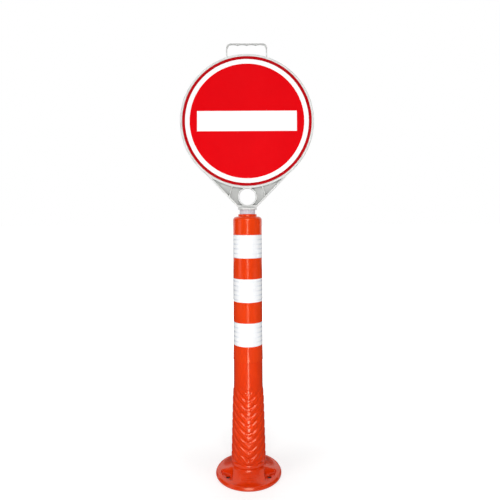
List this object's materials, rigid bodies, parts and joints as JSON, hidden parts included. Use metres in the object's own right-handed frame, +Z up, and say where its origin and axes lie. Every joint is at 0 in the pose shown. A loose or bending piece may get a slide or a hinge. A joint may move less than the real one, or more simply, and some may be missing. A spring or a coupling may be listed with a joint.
{
  "type": "delineator post with sign",
  "caption": "Flexible orange delineator post with white reflective bands, a bolt-down foot and a round plug-in no-entry sign with a carrying handle.",
  "frame": {"origin": "centre of the foot's underside, on the road", "axes": "+Z up along the post, the sign's face looks along -Y, +X to the right of someone who faces the sign"},
  "size_m": [0.3879, 0.19, 1.2435],
  "materials": {
    "foot_rubber": "satin moulded polyurethane rubber, orange",
    "column_rubber": "satin moulded polyurethane rubber, orange",
    "orange_plastic": "glossy moulded plastic, orange",
    "reflective_white": "white retroreflective sleeve, fine grooves",
    "grey_plastic": "matte moulded plastic, grey",
    "pale_plastic": "matte moulded plastic, off-white",
    "reflective_sheet": "white retroreflective sheeting",
    "red_film": "translucent red overlay film on retroreflective sheeting"
  },
  "bodies": {
    "foot": {"base_flange": "foot_rubber"},
    "column": {"flexible_column": "column_rubber"},
    "post": {"post_tube": "orange_plastic", "top_cap": "orange_plastic", "reflective_band_top": "reflective_white", "reflective_band_middle": "reflective_white", "reflective_band_bottom": "reflective_white"},
    "bush": {"socket_bush": "grey_plastic"},
    "sign": {"sign_frame": "pale_plastic", "white_reflective_sheet": "reflective_sheet", "red_border_film": "red_film", "red_field_film": "red_film"}
  },
  "joints": [
    {"name": "post_bend_fore_aft", "type": "hinge", "parent": "foot", "child": "column", "pos_m": [0, 0, 0.095], "axis": [1, 0, 0], "range_deg": [-75, 75], "stiffness_Nm_per_rad": 60, "deforming": ["flexible_column"]},
    {"name": "post_bend_sideways", "type": "hinge", "parent": "column", "child": "post", "pos_m": [0, 0, 0.205], "axis": [0, 1, 0], "range_deg": [-75, 75], "stiffness_Nm_per_rad": 60, "deforming": ["flexible_column"]},
    {"name": "sign_turn", "type": "hinge", "parent": "post", "child": "bush", "pos_m": [0, 0, 0.75], "axis": [0, 0, 1], "continuous": true},
    {"name": "sign_lift", "type": "slide", "parent": "bush", "child": "sign", "axis": [0, 0, 1], "range_m": [0, 0.075]}
  ]
}
